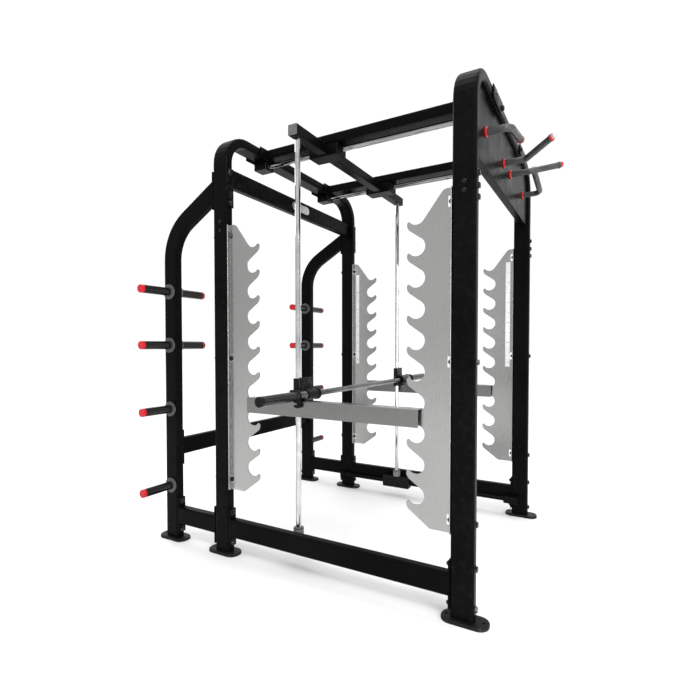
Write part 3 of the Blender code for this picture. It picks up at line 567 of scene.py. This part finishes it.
# ---------------------------------------------------------------- pegs
for name in sorted(nodes):
    if not name.startswith("peg_"):
        continue
    low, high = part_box(name)
    outward = ("outer" in name) == (high.x + low.x > 0)
    facing = "+X" if outward else "-X"
    root_x = low.x if outward else high.x
    length = high.x - low.x
    y, z = (low.y + high.y) / 2, (low.z + high.z) / 2
    cap = length - PEG_CAP_L
    profile = [(0, 0), (0, PEG_DISC_R - PEG_EDGE), (PEG_EDGE, PEG_DISC_R),
               (PEG_DISC_T - PEG_EDGE, PEG_DISC_R), (PEG_DISC_T, PEG_DISC_R - PEG_EDGE),
               (PEG_DISC_T, PEG_R), (cap, PEG_R), (cap, PEG_R - PEG_GROOVE_D),
               (cap + PEG_GROOVE_W, PEG_R - PEG_GROOVE_D), (cap + PEG_GROOVE_W, PEG_R),
               (length - 0.005, PEG_R), (length - 0.0015, PEG_R - 0.0015),
               (length, PEG_R - 0.005), (length, 0.010), (length - 0.001, 0.008),
               (length - 0.001, 0)]
    steps = [0] * 5 + [1] * 3 + [2] * 7
    bm = bmesh.new()
    turned(bm, (root_x, y, z), facing, profile, 40, mats=steps)
    make(name + "_finish", bm, [DISC, GLOSS, RED], FRAME, [name])

# ---------------------------------------------------------------- bar sleeves
for label, side in SIDES:
    name = "bar_sleeve_" + label
    low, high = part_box(name)
    facing = "+X" if side > 0 else "-X"
    root_x = low.x if side > 0 else high.x
    length = high.x - low.x
    radius = (high.z - low.z) / 2
    y, z = (low.y + high.y) / 2, (low.z + high.z) / 2
    groove = radius - SLEEVE_GROOVE_D
    profile = [(0, SLEEVE_BORE_R), (0, radius - SLEEVE_EDGE), (SLEEVE_EDGE, radius),
               (0.010, radius), (0.0105, groove), (0.0125, groove), (0.013, radius),
               (length - 0.014, radius), (length - 0.0135, groove),
               (length - 0.0115, groove), (length - 0.011, radius),
               (length - SLEEVE_EDGE, radius), (length, radius - SLEEVE_EDGE), (length, 0.012),
               (length - 0.0015, 0.010), (length - 0.0015, 0)]
    steps = [1] * 5 + [0] * 3 + [1] * 7
    bm = bmesh.new()
    turned(bm, (root_x, y, z), facing, profile, 48, mats=steps)
    make(name + "_finish", bm, [GLOSS, SLIDER], "sleeve_" + label, [name])

# ---------------------------------------------------------------- floor, lights, camera
floor_look = Look("floor", specular=0.2)
tone = floor_look.remap(floor_look.noise(0.8), 0.3, 0.7, 0.0, 1.0)
floor_look.surface(floor_look.mix(tone, (0.86, 0.86, 0.86), (0.89, 0.89, 0.89)),
                   floor_look.remap(floor_look.noise(2.0), 0.3, 0.7, 0.75, 0.85),
                   floor_look.noise(60.0), 0.02, 0.0005)
bm = bmesh.new()
bmesh.ops.create_circle(bm, cap_ends=True, radius=30.0, segments=96)
mesh = bpy.data.meshes.new("floor")
bm.to_mesh(mesh)
bm.free()
mesh.materials.append(floor_look.mat)
floor = bpy.data.objects.new("floor", mesh)
bpy.context.scene.collection.objects.link(floor)

world = bpy.data.worlds.new("studio")
bpy.context.scene.world = world
world.use_nodes = True
tree = world.node_tree
tree.nodes["Background"].inputs["Color"].default_value = (1.0, 1.0, 1.0, 1.0)
direction = tree.nodes.new("ShaderNodeTexCoord").outputs["Generated"]


def world_step(kind, operation, a, b):
    """One maths node of the world. b is a socket or a constant."""
    node = tree.nodes.new(kind)
    node.operation = operation
    tree.links.new(a, node.inputs[0])
    if hasattr(b, "is_output"):
        tree.links.new(b, node.inputs[1])
    else:
        node.inputs[1].default_value = b
    return node.outputs["Value" if operation in ("DOT_PRODUCT", "ADD") else 0]


level = world_step("ShaderNodeVectorMath", "MULTIPLY", direction, (1, 1, 0))
unit = tree.nodes.new("ShaderNodeVectorMath")
unit.operation = "NORMALIZE"
tree.links.new(level, unit.inputs[0])


def lobe(azimuth, start, full, strength):
    """A soft bright part of the studio's wall, centred on one compass direction."""
    angle = math.radians(azimuth)
    facing = world_step("ShaderNodeVectorMath", "DOT_PRODUCT", unit.outputs["Vector"],
                        (math.cos(angle), math.sin(angle), 0))
    node = tree.nodes.new("ShaderNodeMapRange")
    node.interpolation_type = "SMOOTHSTEP"
    for socket, number in zip(("From Min", "From Max", "To Min", "To Max"),
                              (math.cos(math.radians(start)), math.cos(math.radians(full)),
                               0.0, strength)):
        node.inputs[socket].default_value = number
    tree.links.new(facing, node.inputs["Value"])
    return node.outputs["Result"]


both = world_step("ShaderNodeMath", "ADD", lobe(30, 110, 40, 0.42), lobe(190, 80, 14, 0.34))
total = world_step("ShaderNodeMath", "ADD", both, 0.62)
tree.links.new(total, tree.nodes["Background"].inputs["Strength"])
bpy.context.scene.view_settings.view_transform = "Standard"


def area(name, at, aim, size, power):
    """A round lamp at one point, aimed at another."""
    data = bpy.data.lights.new(name, "AREA")
    data.shape = "DISK"
    data.size = size
    data.energy = power
    obj = bpy.data.objects.new(name, data)
    obj.location = at
    obj.rotation_euler = (Vector(aim) - Vector(at)).to_track_quat("-Z", "Y").to_euler()
    bpy.context.scene.collection.objects.link(obj)


area("key", (-3.0, -2.8, 4.2), (0, 0, 1.2), 1.2, 70)
area("back", (1.0, 4.6, 3.8), (0, 0, 1.2), 2.0, 60)
STRIP_AT = (-2.6, -3.9, 1.5)    # an upright strip lamp
strip = bpy.data.lights.new("strip", "AREA")
strip.shape = "RECTANGLE"
strip.size = 0.5
strip.size_y = 3.0
strip.energy = 75
strip_object = bpy.data.objects.new("strip", strip)
strip_object.location = STRIP_AT
strip_object.rotation_euler = (math.radians(90), 0.0, math.atan2(STRIP_AT[0], -STRIP_AT[1]))
bpy.context.scene.collection.objects.link(strip_object)
sun = bpy.data.lights.new("overhead", "SUN")
sun.energy = 1.3
sun.angle = math.radians(60)
sun_object = bpy.data.objects.new("overhead", sun)
bpy.context.scene.collection.objects.link(sun_object)

CAMERA_AT = (-2.570, -1.285, 1.138)
CAMERA_DIP = 1.39               # degrees below level
CAMERA_BEARING = 29.28          # degrees from +X towards +Y
camera_data = bpy.data.cameras.new("camera")
camera_data.lens = 23.794
camera_data.sensor_width = 36.0
camera_data.shift_y = 0.01066
camera = bpy.data.objects.new("camera", camera_data)
camera.location = CAMERA_AT
camera.rotation_euler = (math.radians(90 - CAMERA_DIP), 0.0, math.radians(CAMERA_BEARING - 90))
bpy.context.scene.collection.objects.link(camera)
bpy.context.scene.camera = camera
